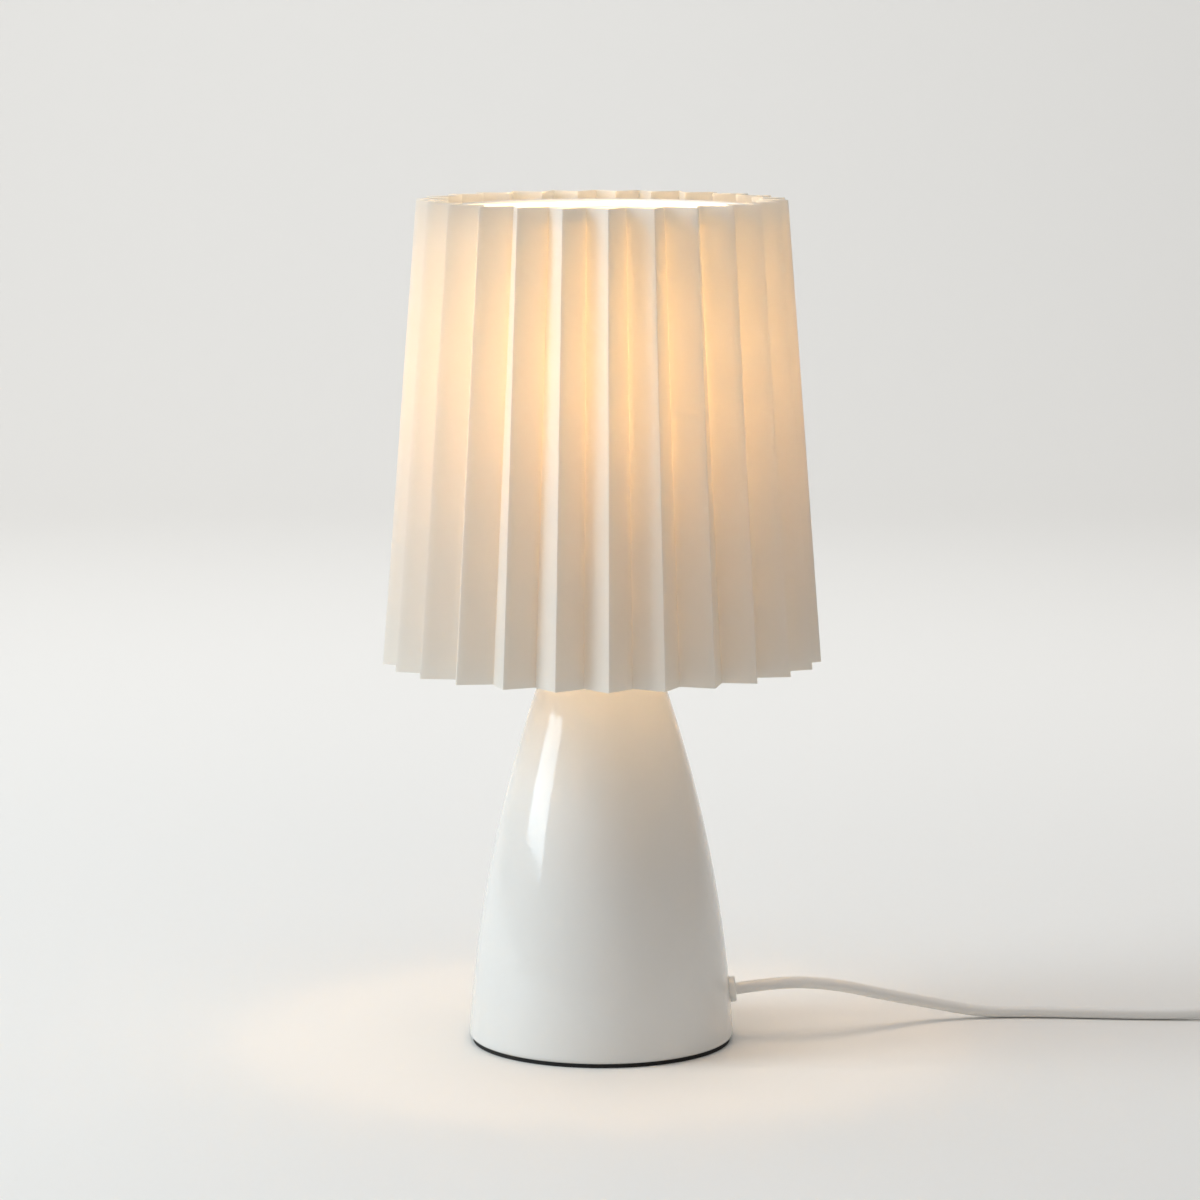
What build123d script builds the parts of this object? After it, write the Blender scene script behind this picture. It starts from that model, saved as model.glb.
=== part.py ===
from build123d import *
import math
import os

os.makedirs("parts", exist_ok=True)

# Fits shared by all pieces, in millimetres
touch_gap = 0.05  # round pieces of one body that touch
running_gap = 0.05  # a piece that turns in or on another
moving_gap = 0.3  # pieces that move past each other
cord_gap = 0.1  # a bore round the lead

# Foot pad
pad_thickness = 1.6
pad_inset = 1.3  # from the ceramic's foot to the pad's edge

# Ceramic body: its outline is one arc through three radii
foot_radius = 54.4
middle_radius = 43.4
top_radius = 18.8
ceramic_height = 166.4
ceramic_wall = 4.5
ceramic_ceiling = 6.0
foot_edge = 1.6
top_edge = 3.0

# Threaded nipple through the ceramic's top, with its washer, nut and disc
nipple_radius = 5.0
nipple_bore = 4.0
nipple_below_nut = 3.0
nipple_in_holder = 7.0
washer_radius = 12.0
washer_thickness = 1.6
nut_across_flats = 14.0
nut_thickness = 3.5
neck_disc_radius = 14.5
neck_disc_thickness = 1.2

# Lead and the bush where it leaves the ceramic
cord_radius = 2.5
gland_height = 20.5
gland_flange_radius = 5.3
gland_flange = 2.5
gland_shank_radius = 4.0
gland_lip_radius = 4.7
gland_lip = 2.0
floor_gap = 0.02  # keeps the lead just above the table
clamp_size = (9.0, 15.0, 12.0)
clamp_behind_gland = 3.0
clamp_corner = 2.0
sheath_above_nipple = 0.5
lead_straight = 21.0  # straight out of the bush
run_in_share = 0.58  # of the foot radius, before it turns up
turn_up_share = 0.28  # of the ceramic's height
wire_radius = 0.9
wire_spacing = 2.2

# Lamp holder, heights from its foot
cap_radius = 18.5
cap_height = 24.0
cap_wall = 2.0
cap_ledge = 14.0
cap_foot_chamfer = 4.0
boss_radius = 8.0
skirt_radius = 19.7
skirt_height = 56.0
flange_radius = 23.5
flange_bottom = 27.0
flange_thickness = 2.0
insert_radius = 15.5
insert_floor = 29.0
shell_radius = 13.35  # inside the brass screw shell
shell_wall = 0.4
shell_top = 53.0
contact_height = 2.0
contact_length = 14.0
contact_width = 6.0
contact_thickness = 0.5
terminal_offset = 8.0
terminal_radius = 2.2
terminal_head = 1.8
wire_hole_offset = 3.6
ledge_overlap = 1.5  # of the cap's ledge under the insert
insert_below_skirt = 1.0
screw_below_floor = 3.0
wire_hole_below_floor = 6.0

# Ring nut and the shade's fitter
ring_nut_radius = 26.0
ring_nut_height = 6.0
ring_nut_rim = 1.5
ring_nut_chamfer = 1.0
ring_nut_step = 3.0  # from the rim in to the grip
fitter_radius = 28.5
fitter_thickness = 2.0
arm_radius = 1.3
arm_count = 3
arm_level_end = 38.0
arm_bend = 10.0
arm_bite = 0.5  # of an arm into the ring's edge
frame_wire_radius = 1.5

# Shade: symmetric pleats of one panel width between two ridge circles
pleat_count = 26
pleat_phase = 2.0  # degrees from the front to the nearest ridge
panel_width = 14.65
ridge_bottom_radius = 90.0
ridge_top_radius = 75.5
cover_height = 187.6
cover_thickness = 0.45
fitter_recess = 39.6  # from the shade's bottom edge up to the fitter ring
liner_wall = 0.5
liner_bottom_inset = 1.5
liner_top_inset = 3.0

# Bulb, heights from its tip
bulb_length = 108.0
globe_radius = 30.0
globe_wall = 1.2
globe_cut = 20.0  # from the globe's centre down to its rim
bulb_cap_radius = 13.0
bulb_cap_wall = 0.4
bulb_cap_top = 27.0
tip_radius = 4.8
tip_height = 1.4
tip_crown = 1.6
tip_land = 0.4
insulator_radius = 10.5
insulator_top = 5.5
insulator_land = 1.0
cap_cone = 2.0
housing_foot_radius = 14.2
housing_wall = 1.8
housing_in_cap = 4.0
board_ledge = 3.0
board_thickness = 1.6

# Inline switch on the lead
sleeve_length = 20.0
sleeve_tip_radius = 3.2
sleeve_root_radius = 4.6
sleeve_collar_radius = 5.8
sleeve_collar = 2.0
switch_length = 62.0
switch_width = 26.0
switch_height = 17.6
switch_end_radius = 10.0
switch_edge = 2.0
switch_wall = 1.9
rocker_length = 21.0
rocker_width = 10.6
rocker_depth = 7.2
rocker_tilt = 8.0  # degrees either side of level
rocker_below_top = 3.6  # from the shell's top to the axle
axle_radius = 1.1
switch_screw_offset = 21.0
switch_screw_radius = 1.4
switch_screw_head = 2.6
switch_screw_boss = 3.4
switch_screw_recess = 0.4
switch_screw_seat = 2.0
switch_screw_below_top = 3.0
boss_in_wall = 0.5
ear_length = 5.0
ear_thickness = 2.4
axle_in_ear = 2.0
rocker_proud = 1.4  # of the shell's top at its middle
rocker_belly = 1.0
blade_size = (7.0, 4.0, 0.6)
blade_offset = (12.0, -4.0)
wire_shift = 1.5
wire_run = 5.0
wire_dip = 11.0
wire_clearance = 2.0

# Put-away coil and its two straps
coil_turns = 7.5
coil_reversal_radius = 20.2
coil_pitch = 5.5
strap_thickness = 0.8
strap_width = 8.0
coil_run = 18.0  # level stretches before and after its climb
plug_run = 18.0

# Flat two-pin plug
plug_length = 36.0
plug_width = 35.3
plug_thickness = 13.7
plug_rear_width = 14.0
plug_straight = 17.0
plug_shoulder_radius = 12.0
plug_corner_radius = 3.0
plug_edge = 2.2
plug_sleeve_length = 22.0
pin_radius = 2.0
pin_length = 19.0
pin_spacing = 18.0
pin_depth = 9.0  # inside the plug's body
pin_sleeve_length = 10.0
pin_sleeve_radius = 1.8
pin_core_radius = 1.4

# Heights that follow from the sizes above
ceramic_bottom = pad_thickness
ceramic_top = ceramic_bottom + ceramic_height
ceiling = ceramic_top - ceramic_ceiling
holder_foot = ceramic_top + neck_disc_thickness
flange_top = holder_foot + flange_bottom + flange_thickness
fitter_bottom = flange_top + running_gap
cover_bottom = fitter_bottom - fitter_recess
cover_top = cover_bottom + cover_height
liner_bottom = cover_bottom + liner_bottom_inset
liner_top = cover_top - liner_top_inset
contact_top = holder_foot + insert_floor + contact_height
bulb_tip_foot = contact_top + running_gap
lying_height = cord_radius + floor_gap

pieces = {}


def turned(points):
    """A solid of revolution about Z from corners given as (radius, height)."""
    outline = Polyline(*[(radius, 0, height) for radius, height in points], close=True)
    return revolve(make_face(outline), Axis.Z)


def ring(inner, outer, bottom, top):
    """A flat ring or a tube about Z."""
    return turned([(inner, bottom), (outer, bottom), (outer, top), (inner, top)])


def rod(radius, bottom, top, x=0.0, y=0.0):
    """An upright round bar."""
    return Pos(x, y, bottom) * extrude(Circle(radius), top - bottom)


def between(start, end, share):
    """The value at a share of the way from start to end."""
    return start + (end - start) * share


def corner_radii(points):
    """For each corner of a route, the arc that its two runs leave room for."""
    radii = []
    for before, corner, after in zip(points, points[1:], points[2:]):
        run_in = Vector(*corner) - Vector(*before)
        run_out = Vector(*after) - Vector(*corner)
        half_turn = math.radians(run_in.get_angle(run_out)) / 2
        radii.append(0.45 * min(run_in.length, run_out.length) / math.tan(half_turn))
    return radii


def swept(name, path, radius):
    """A round tube along a path, with its length, volume and tightest bend printed."""
    tube = sweep(Plane(origin=path @ 0, z_dir=path % 0) * Circle(radius), path=path)
    plain_volume = math.pi * radius**2 * path.length
    print(f"{name}: {path.length:.1f} mm long, volume {tube.volume / plain_volume:.5f} of section x length")
    return tube


def routed(name, points, radius):
    """A tube along straight runs joined by the largest arcs that fit."""
    radii = corner_radii(points)
    print(f"{name}: corner radii {', '.join(f'{r:.0f}' for r in radii)}")
    return swept(name, FilletPolyline(*points, radius=radii), radius)


# Outline of the ceramic: the circle through foot, middle and top
def circle_through(a, b, c):
    """Centre and radius of the circle through three (radius, height) points."""
    (ax, ay), (bx, by), (cx, cy) = a, b, c
    d = 2 * (ax * (by - cy) + bx * (cy - ay) + cx * (ay - by))
    a2, b2, c2 = ax**2 + ay**2, bx**2 + by**2, cx**2 + cy**2
    x = (a2 * (by - cy) + b2 * (cy - ay) + c2 * (ay - by)) / d
    y = (a2 * (cx - bx) + b2 * (ax - cx) + c2 * (bx - ax)) / d
    return x, y, math.hypot(ax - x, ay - y)


def outline_points(inset):
    """Foot, middle and top of the ceramic's outline, moved inwards by inset."""
    middle = ceramic_bottom + ceramic_height / 2
    return [
        (foot_radius - inset, ceramic_bottom),
        (middle_radius - inset, middle),
        (top_radius - inset, ceramic_top),
    ]


def ceramic_radius(height, inset=0.0):
    """Radius of the ceramic's outline at a height."""
    x, y, radius = circle_through(*outline_points(inset))
    side = math.copysign(1.0, middle_radius - inset - x)
    return x + side * math.sqrt(radius**2 - (height - y) ** 2)


def ceramic_solid(inset):
    """The full solid inside the outline moved inwards by inset."""
    (foot, bottom), middle, (top, height) = outline_points(inset)
    side = ThreePointArc((foot, 0, bottom), (middle[0], 0, middle[1]), (top, 0, height))
    rest = Polyline((top, 0, height), (0, 0, height), (0, 0, bottom), (foot, 0, bottom))
    return revolve(make_face(side + rest), Axis.Z)


# The bush sits square to the sloping wall, on the lamp's right
wall_slope = ceramic_radius(gland_height - 0.5) - ceramic_radius(gland_height + 0.5)
gland_tilt = math.atan(wall_slope)
gland_out = Vector(math.cos(gland_tilt), 0, math.sin(gland_tilt))
gland_seat = Vector(ceramic_radius(gland_height), 0, gland_height)
gland_frame = Plane(origin=gland_seat, x_dir=(0, 1, 0), z_dir=gland_out)
gland_face = gland_seat + gland_out * gland_flange
wall_depth = ceramic_wall * math.cos(gland_tilt)


def along_gland(radius, start, end):
    """A round bar on the bush's axis, from start to end outwards of the wall."""
    return gland_frame * Pos(0, 0, start) * extrude(Circle(radius), end - start)


# Ceramic body and foot pad
shell = ceramic_solid(0.0)
foot_circle = shell.edges().filter_by(GeomType.CIRCLE).sort_by(Axis.Z)[0]
shell = fillet(foot_circle, foot_edge)
top_circle = shell.edges().filter_by(GeomType.CIRCLE).sort_by(Axis.Z)[-1]
shell = fillet(top_circle, min(top_edge, top_radius / 3))
hollow = ceramic_solid(ceramic_wall) & ring(0, 2 * foot_radius, ceramic_bottom, ceiling)
gland_hole = along_gland(gland_shank_radius + touch_gap, -2 * ceramic_wall, ceramic_wall)
nipple_hole = rod(nipple_radius + touch_gap, ceiling - 1, ceramic_top + 1)
ceramic = shell - hollow - gland_hole - nipple_hole
pieces["ceramic_body"] = ceramic
pieces["foot_pad"] = rod(foot_radius - pad_inset, 0, pad_thickness)

# Nipple with its hardware
washer_bottom = ceiling - washer_thickness
nut_bottom = washer_bottom - nut_thickness
nipple_bottom = nut_bottom - nipple_below_nut
nipple_top = holder_foot + nipple_in_holder
threaded = nipple_radius + touch_gap
pieces["threaded_nipple"] = ring(nipple_bore, nipple_radius, nipple_bottom, nipple_top)
pieces["inner_washer"] = ring(threaded, washer_radius, washer_bottom, ceiling)
hexagon = RegularPolygon(nut_across_flats / 2, 6, major_radius=False) - Circle(threaded)
pieces["hex_nut"] = Pos(0, 0, nut_bottom) * extrude(hexagon, nut_thickness)
pieces["neck_disc"] = ring(threaded, neck_disc_radius, ceramic_top, holder_foot)

# Bush in the wall, bored for the lead
flange = along_gland(gland_flange_radius, -ceramic_wall / 2, gland_flange)
shank = along_gland(gland_shank_radius, -wall_depth - gland_lip, gland_flange)
lip = along_gland(gland_lip_radius, -wall_depth - gland_lip, -ceramic_wall / 2)
bore = along_gland(cord_radius + cord_gap, -2 * ceramic_wall - gland_lip, 2 * gland_flange)
bush = (flange + shank + lip) - ceramic - bore
pieces["cord_bush"] = bush.solids().sort_by(SortBy.VOLUME)[-1]

# Lead inside the base: in through the bush, then up through the nipple
sheath_end = nipple_top + sheath_above_nipple
inner_route = [
    tuple(gland_face),
    tuple(gland_seat - gland_out * run_in_share * foot_radius),
    (0, 0, turn_up_share * ceramic_height),
    (0, 0, sheath_end),
]
inner_cord = routed("inner_cord", inner_route, cord_radius)
pieces["inner_cord"] = inner_cord

# Clamp on the lead just inside the wall
clamp_start = -wall_depth - gland_lip - clamp_behind_gland - clamp_size[0]
clamp_block = gland_frame * Pos(0, 0, clamp_start) * extrude(
    RectangleRounded(clamp_size[1], clamp_size[2], clamp_corner), clamp_size[0]
)
pieces["cord_clamp"] = clamp_block - along_gland(cord_radius + cord_gap, 2 * clamp_start, 0)

# Lamp holder
cap_inner = cap_radius - cap_wall
ledge_inner = insert_radius - ledge_overlap
ledge = holder_foot + cap_ledge
pieces["holder_cap"] = turned([
    (threaded, holder_foot),
    (cap_radius - cap_foot_chamfer, holder_foot),
    (cap_radius, holder_foot + cap_foot_chamfer),
    (cap_radius, holder_foot + cap_height),
    (cap_inner, holder_foot + cap_height),
    (cap_inner, ledge),
    (ledge_inner, ledge),
    (ledge_inner, holder_foot + cap_foot_chamfer + cap_wall),
    (boss_radius, holder_foot + cap_wall),
    (boss_radius, nipple_top),
    (threaded, nipple_top),
])
skirt_inner = insert_radius + touch_gap
pieces["holder_skirt"] = turned([
    (skirt_inner, holder_foot + cap_height),
    (skirt_radius, holder_foot + cap_height),
    (skirt_radius, holder_foot + flange_bottom),
    (flange_radius, holder_foot + flange_bottom),
    (flange_radius, flange_top),
    (skirt_radius, flange_top),
    (skirt_radius, holder_foot + skirt_height),
    (skirt_inner, holder_foot + skirt_height),
])
insert_top = holder_foot + skirt_height - insert_below_skirt
floor_level = holder_foot + insert_floor
screw_end = floor_level - screw_below_floor
wire_hole_end = floor_level - wire_hole_below_floor
sleeve_inner = shell_radius + shell_wall + touch_gap
insert = rod(insert_radius, ledge, insert_top) - rod(sleeve_inner, floor_level, insert_top + 1)
for side in (-1, 1):
    insert -= rod(wire_radius + cord_gap, ledge - 1, wire_hole_end, side * wire_hole_offset)
    insert -= rod(terminal_radius + touch_gap, ledge - 1, ledge + terminal_head, side * terminal_offset)
    insert -= rod(terminal_radius / 2 + touch_gap, ledge - 1, screw_end, side * terminal_offset)
pieces["holder_insert"] = insert
pieces["screw_shell"] = ring(shell_radius, shell_radius + shell_wall, floor_level, holder_foot + shell_top)
half_contact = contact_length / 2
arch = [
    (-half_contact, floor_level),
    (-half_contact, floor_level + contact_thickness),
    (-half_contact / 2, contact_top),
    (half_contact / 2, contact_top),
    (half_contact, floor_level + contact_thickness),
    (half_contact, floor_level),
    (half_contact / 2, contact_top - contact_thickness),
    (-half_contact / 2, contact_top - contact_thickness),
]
arch_face = make_face(Polyline(*[(x, -contact_width / 2, z) for x, z in arch], close=True))
pieces["centre_contact"] = extrude(arch_face, contact_width, dir=(0, 1, 0))
screws = Part()
wires = {}
for side, name in ((-1, "neutral_wire"), (1, "live_wire")):
    head = rod(terminal_radius, ledge, ledge + terminal_head, side * terminal_offset)
    shank = rod(terminal_radius / 2, ledge + terminal_head, screw_end, side * terminal_offset)
    screws += head + shank
    half_spacing = side * wire_spacing / 2
    route = [
        (half_spacing, 0, sheath_end),
        (half_spacing, 0, between(sheath_end, ledge, 0.3)),
        (side * wire_hole_offset, 0, between(sheath_end, ledge, 0.8)),
        (side * wire_hole_offset, 0, between(ledge, wire_hole_end, 0.6)),
    ]
    wires[name] = routed(name, route, wire_radius)
pieces["terminal_screws"] = screws
pieces.update(wires)

# Ring nut that clamps the fitter ring on the skirt's flange
fitter_top = fitter_bottom + fitter_thickness
nut_foot = fitter_top + running_gap
nut_grip_radius = ring_nut_radius - ring_nut_step
pieces["shade_ring_nut"] = turned([
    (skirt_radius + touch_gap, nut_foot),
    (ring_nut_radius, nut_foot),
    (ring_nut_radius, nut_foot + ring_nut_rim),
    (nut_grip_radius, nut_foot + ring_nut_rim + ring_nut_chamfer),
    (nut_grip_radius, nut_foot + ring_nut_height),
    (skirt_radius + touch_gap, nut_foot + ring_nut_height),
])


# Pleats: valley radius that gives one panel width, and how far a fold's inside is
def valley_radius(ridge):
    """Valley radius whose panel to the ridge has the panel width."""
    half_pitch = math.pi / pleat_count
    across = ridge * math.sin(half_pitch)
    return ridge * math.cos(half_pitch) - math.sqrt(panel_width**2 - across**2)


def fold_inset(ridge, at_ridge):
    """Radial distance from a fold's outside to its inside."""
    half_pitch = math.pi / pleat_count
    across = (valley_radius(ridge) if at_ridge else ridge) * math.sin(half_pitch)
    return cover_thickness * panel_width / across


def zigzag(ridge, height, inside):
    """The pleats' outline at a height, on the cover's outer or inner side."""
    outer = ridge - (fold_inset(ridge, True) if inside else 0)
    inner = valley_radius(ridge) - (fold_inset(ridge, False) if inside else 0)
    corners = []
    for index in range(2 * pleat_count):
        angle = math.radians(pleat_phase - 90) + index * math.pi / pleat_count
        radius = inner if index % 2 else outer
        corners.append((radius * math.cos(angle), radius * math.sin(angle), height))
    return corners


def pleated_solid(inside, overrun):
    """The pleats as a full solid, straight from the bottom outline to the top one."""
    outlines = []
    for share in (0.0, 1.0):
        outlines.append(zigzag(between(ridge_bottom_radius, ridge_top_radius, share), 0, inside))
    sections = []
    for share in (-overrun / cover_height, 1 + overrun / cover_height):
        height = between(cover_bottom, cover_top, share)
        corners = [
            (between(low[0], high[0], share), between(low[1], high[1], share), height)
            for low, high in zip(*outlines)
        ]
        sections.append(make_face(Polyline(*corners, close=True)))
    return loft(sections, ruled=True)


pieces["pleated_cover"] = pleated_solid(False, 0.0) - pleated_solid(True, 2.0)


# Liner inside the valleys, and the two wire rings inside the liner
def liner_radius(height):
    """Outer radius of the liner at a height."""
    share = (height - cover_bottom) / cover_height
    low = valley_radius(ridge_bottom_radius) - fold_inset(ridge_bottom_radius, False)
    high = valley_radius(ridge_top_radius) - fold_inset(ridge_top_radius, False)
    return between(low, high, share) - touch_gap


liner_slope = math.atan((liner_radius(liner_bottom) - liner_radius(liner_top)) / (liner_top - liner_bottom))
pieces["shade_liner"] = turned([
    (liner_radius(liner_bottom) - liner_wall, liner_bottom),
    (liner_radius(liner_bottom), liner_bottom),
    (liner_radius(liner_top), liner_top),
    (liner_radius(liner_top) - liner_wall, liner_top),
])


def wire_ring(height):
    """A wire ring against the liner's inside, and its radius."""
    reach = (frame_wire_radius + touch_gap) / math.cos(liner_slope)
    radius = liner_radius(height) - liner_wall - reach
    return Pos(0, 0, height) * Torus(radius, frame_wire_radius), radius


top_ring = wire_ring(liner_top - frame_wire_radius)[0]
bottom_ring_height = liner_bottom + frame_wire_radius
bottom_ring, bottom_ring_radius = wire_ring(bottom_ring_height)
pieces["top_wire_ring"] = top_ring
pieces["bottom_wire_ring"] = bottom_ring

# Fitter ring with its arms down to the bottom wire ring
fitter_middle = fitter_bottom + fitter_thickness / 2
pieces["fitter_ring"] = ring(skirt_radius + moving_gap, fitter_radius, fitter_bottom, fitter_top)
arm_route = [
    (fitter_radius - arm_bite, 0, fitter_middle),
    (arm_level_end, 0, fitter_middle),
    (bottom_ring_radius, 0, bottom_ring_height),
]
arm = swept("fitter_arms, each", FilletPolyline(*arm_route, radius=arm_bend), arm_radius)
arm = arm - rod(fitter_radius, cover_bottom, cover_top) - bottom_ring
arms = Part()
for index in range(arm_count):
    arms += Rot(0, 0, 90 + index * 360 / arm_count) * arm
pieces["fitter_arms"] = arms

# Bulb
tip_top = bulb_tip_foot + tip_height
insulator_high = bulb_tip_foot + insulator_top
cap_high = bulb_tip_foot + bulb_cap_top
globe_centre = bulb_tip_foot + bulb_length - globe_radius
rim_height = globe_centre - globe_cut
bulb_cap_inner = bulb_cap_radius - bulb_cap_wall
rim_radius = math.sqrt(globe_radius**2 - globe_cut**2)
pieces["bulb_tip"] = turned([
    (0, bulb_tip_foot),
    (tip_radius - tip_crown, bulb_tip_foot),
    (tip_radius, tip_top - tip_land),
    (tip_radius, tip_top),
    (0, tip_top),
])
insulator_edge = insulator_radius - running_gap
pieces["bulb_insulator"] = turned([
    (0, tip_top),
    (tip_radius, tip_top),
    (insulator_edge, insulator_high - insulator_land),
    (insulator_edge, insulator_high),
    (0, insulator_high),
])
pieces["bulb_cap"] = turned([
    (insulator_radius, insulator_high - insulator_land),
    (insulator_radius + bulb_cap_wall, insulator_high - insulator_land),
    (bulb_cap_radius, insulator_high + cap_cone),
    (bulb_cap_radius, cap_high),
    (bulb_cap_inner, cap_high),
    (bulb_cap_inner, insulator_high + cap_cone + bulb_cap_wall / 2),
    (insulator_radius, insulator_high + bulb_cap_wall / 2),
])
board_bottom = rim_height - board_thickness
ledge_bottom = board_bottom - board_ledge
housing_foot = cap_high - housing_in_cap
pieces["bulb_housing"] = turned([
    (bulb_cap_inner - housing_wall, housing_foot),
    (bulb_cap_inner - touch_gap, housing_foot),
    (bulb_cap_inner - touch_gap, cap_high),
    (housing_foot_radius, cap_high),
    (rim_radius, ledge_bottom),
    (rim_radius, rim_height),
    (rim_radius - housing_wall, rim_height),
    (rim_radius - housing_wall, board_bottom),
    (rim_radius - 2 * housing_wall, board_bottom),
    (rim_radius - 2 * housing_wall, ledge_bottom),
])
pieces["led_board"] = rod(rim_radius - housing_wall - touch_gap, board_bottom, rim_height)
ball = Pos(0, 0, globe_centre) * (Sphere(globe_radius) - Sphere(globe_radius - globe_wall))
above_rim = rod(2 * globe_radius, rim_height, globe_centre + 2 * globe_radius)
pieces["bulb_globe"] = ball & above_rim

# Free lead from the bush to the switch: straight out, down and along the table
switch_line = 33.0  # how far behind the lamp's axis the switch lies
switch_entry = 306.0
cord_level = switch_height / 2
lead_route = [
    tuple(gland_face),
    tuple(gland_face + gland_out * lead_straight),
    (97.0, 6.5, 22.4),
    (117.5, 19.0, 14.6),
    (138.0, 30.0, 6.4),
    (160.0, 36.0, lying_height),
    (185.0, 36.5, lying_height),
    (212.0, 34.0, lying_height),
    (239.0, 31.8, lying_height),
    (264.0, 32.2, lying_height + 1.6),
    (286.0, switch_line, cord_level),
    (switch_entry, switch_line, cord_level),
]
pieces["cord_to_switch"] = routed("cord_to_switch", lead_route, cord_radius)


# Tapered sleeves where the lead enters a housing
def sleeve(tip_x, y, height, length, direction):
    """A tapered sleeve from its tip along X, with a collar that the housing grips."""
    collar_start = length + switch_wall
    collar_end = collar_start + sleeve_collar
    body = turned([
        (0, 0),
        (sleeve_tip_radius, 0),
        (sleeve_root_radius, length),
        (sleeve_root_radius, collar_start),
        (sleeve_collar_radius, collar_start),
        (sleeve_collar_radius, collar_end),
        (0, collar_end),
    ])
    return Pos(tip_x, y, height) * Rot(0, 90 * direction, 0) * body


# Inline switch: two shells that meet at the lead's height
switch_left = switch_entry + sleeve_length
switch_right = switch_left + switch_length
switch_middle = (switch_left + switch_right) / 2
switch_exit = switch_right + sleeve_length
axle_height = switch_height - rocker_below_top


def switch_block(inset, bottom, top):
    """The switch's plan outline, moved inwards and extruded between two heights."""
    length, width = switch_length - 2 * inset, switch_width - 2 * inset
    outline = RectangleRounded(length, width, min(switch_end_radius - inset, 0.49 * width))
    return Pos(switch_middle, switch_line, bottom) * extrude(outline, top - bottom)


entry_sleeve = sleeve(switch_entry, switch_line, cord_level, sleeve_length, 1)
exit_sleeve = sleeve(switch_exit, switch_line, cord_level, sleeve_length, -1)
pieces["entry_sleeve"] = entry_sleeve
pieces["exit_sleeve"] = exit_sleeve
outer_block = switch_block(0, 0, switch_height)
rim_edges = outer_block.faces().sort_by(Axis.Z)[0].edges() + outer_block.faces().sort_by(Axis.Z)[-1].edges()
outer_block = fillet(rim_edges, switch_edge)
inner_block = switch_block(switch_wall, switch_wall, switch_height - switch_wall)
half_space = Pos(switch_middle, switch_line, 0) * Box(
    2 * switch_length, 2 * switch_width, cord_level, align=(Align.CENTER, Align.CENTER, Align.MIN)
)
screw_places = [switch_middle - switch_screw_offset, switch_middle + switch_screw_offset]
screw_line = switch_line + switch_width / 2 - switch_wall - switch_screw_boss + boss_in_wall
screw_end_height = switch_height - switch_screw_below_top
bosses = Part()
screw_holes = Part()
switch_screws = Part()
for x in screw_places:
    bosses += rod(switch_screw_boss, switch_wall / 2, switch_height - switch_wall / 2, x, screw_line)
    screw_holes += rod(switch_screw_radius + touch_gap, -1, screw_end_height, x, screw_line)
    screw_holes += rod(switch_screw_head + touch_gap, -1, switch_screw_seat, x, screw_line)
    switch_screws += rod(switch_screw_radius, switch_screw_recess, screw_end_height, x, screw_line)
    switch_screws += rod(switch_screw_head, switch_screw_recess, switch_screw_seat, x, screw_line)
pieces["switch_screws"] = switch_screws
shells = (outer_block - inner_block) + (bosses & outer_block)
shells = shells - screw_holes - entry_sleeve - exit_sleeve
rocker_window = Pos(switch_middle, switch_line, switch_height) * Box(
    rocker_length + 2 * moving_gap, rocker_width + 2 * moving_gap, 4 * switch_wall
)
axle_half = rocker_width / 2 + moving_gap + axle_in_ear
ear = Pos(switch_middle, 0, axle_height) * Box(
    ear_length, ear_thickness, 2 * rocker_below_top - switch_wall
)
ear_offset = rocker_width / 2 + moving_gap + ear_thickness / 2
ears = Pos(0, switch_line - ear_offset, 0) * ear + Pos(0, switch_line + ear_offset, 0) * ear
axle = Pos(switch_middle, switch_line, axle_height) * Rot(90, 0, 0) * Cylinder(axle_radius, 2 * axle_half)
axle_bore = Pos(switch_middle, switch_line, axle_height) * Rot(90, 0, 0) * Cylinder(
    axle_radius + touch_gap, 2 * axle_half
)
pieces["rocker_axle"] = axle
pieces["switch_lower_shell"] = shells & half_space
pieces["switch_upper_shell"] = (shells - half_space) + (ears & outer_block) - rocker_window - axle_bore

# Rocker, drawn level and then tipped to its on position
half_rocker = rocker_length / 2
rise = half_rocker * math.tan(math.radians(rocker_tilt))
proud = rocker_below_top + rocker_proud
rocker_foot = proud - rocker_depth
rocker_side = [
    (-half_rocker, rocker_foot),
    (-half_rocker, proud + rise),
    (0, proud),
    (half_rocker, proud + rise),
    (half_rocker, rocker_foot),
    (half_rocker / 2, rocker_foot),
    (half_rocker / 4, rocker_foot - rocker_belly),
    (-half_rocker / 4, rocker_foot - rocker_belly),
    (-half_rocker / 2, rocker_foot),
]
rocker_face = make_face(Polyline(*[(x, -rocker_width / 2, z) for x, z in rocker_side], close=True))
rocker = extrude(rocker_face, rocker_width, dir=(0, 1, 0))
rocker &= Rot(90, 0, 0) * Cylinder(half_rocker, 2 * rocker_width)
rocker -= Rot(90, 0, 0) * Cylinder(axle_radius + running_gap, 2 * rocker_width)
pieces["switch_rocker"] = Pos(switch_middle, switch_line, axle_height) * Rot(0, rocker_tilt, 0) * rocker

# Contact blades and wires inside the switch
blade = Pos(switch_middle, switch_line, switch_wall + blade_size[2] / 2) * Box(*blade_size)
blades = Part()
for side in (-1, 1):
    blades += Pos(side * blade_offset[0], blade_offset[1], 0) * blade
pieces["contact_blades"] = blades
sleeve_end = sleeve_length + switch_wall + sleeve_collar
wire_start = switch_entry + sleeve_end
wire_finish = switch_exit - sleeve_end
wire_line = switch_line + wire_shift
through_route = [
    (wire_start, wire_line, cord_level),
    (wire_start + wire_run, wire_line, cord_level),
    (wire_start + wire_dip, wire_line, switch_wall + wire_clearance),
    (wire_finish - wire_dip, wire_line, switch_wall + wire_clearance),
    (wire_finish - wire_run, wire_line, cord_level),
    (wire_finish, wire_line, cord_level),
]
pieces["through_wire"] = routed("through_wire", through_route, wire_radius)


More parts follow.
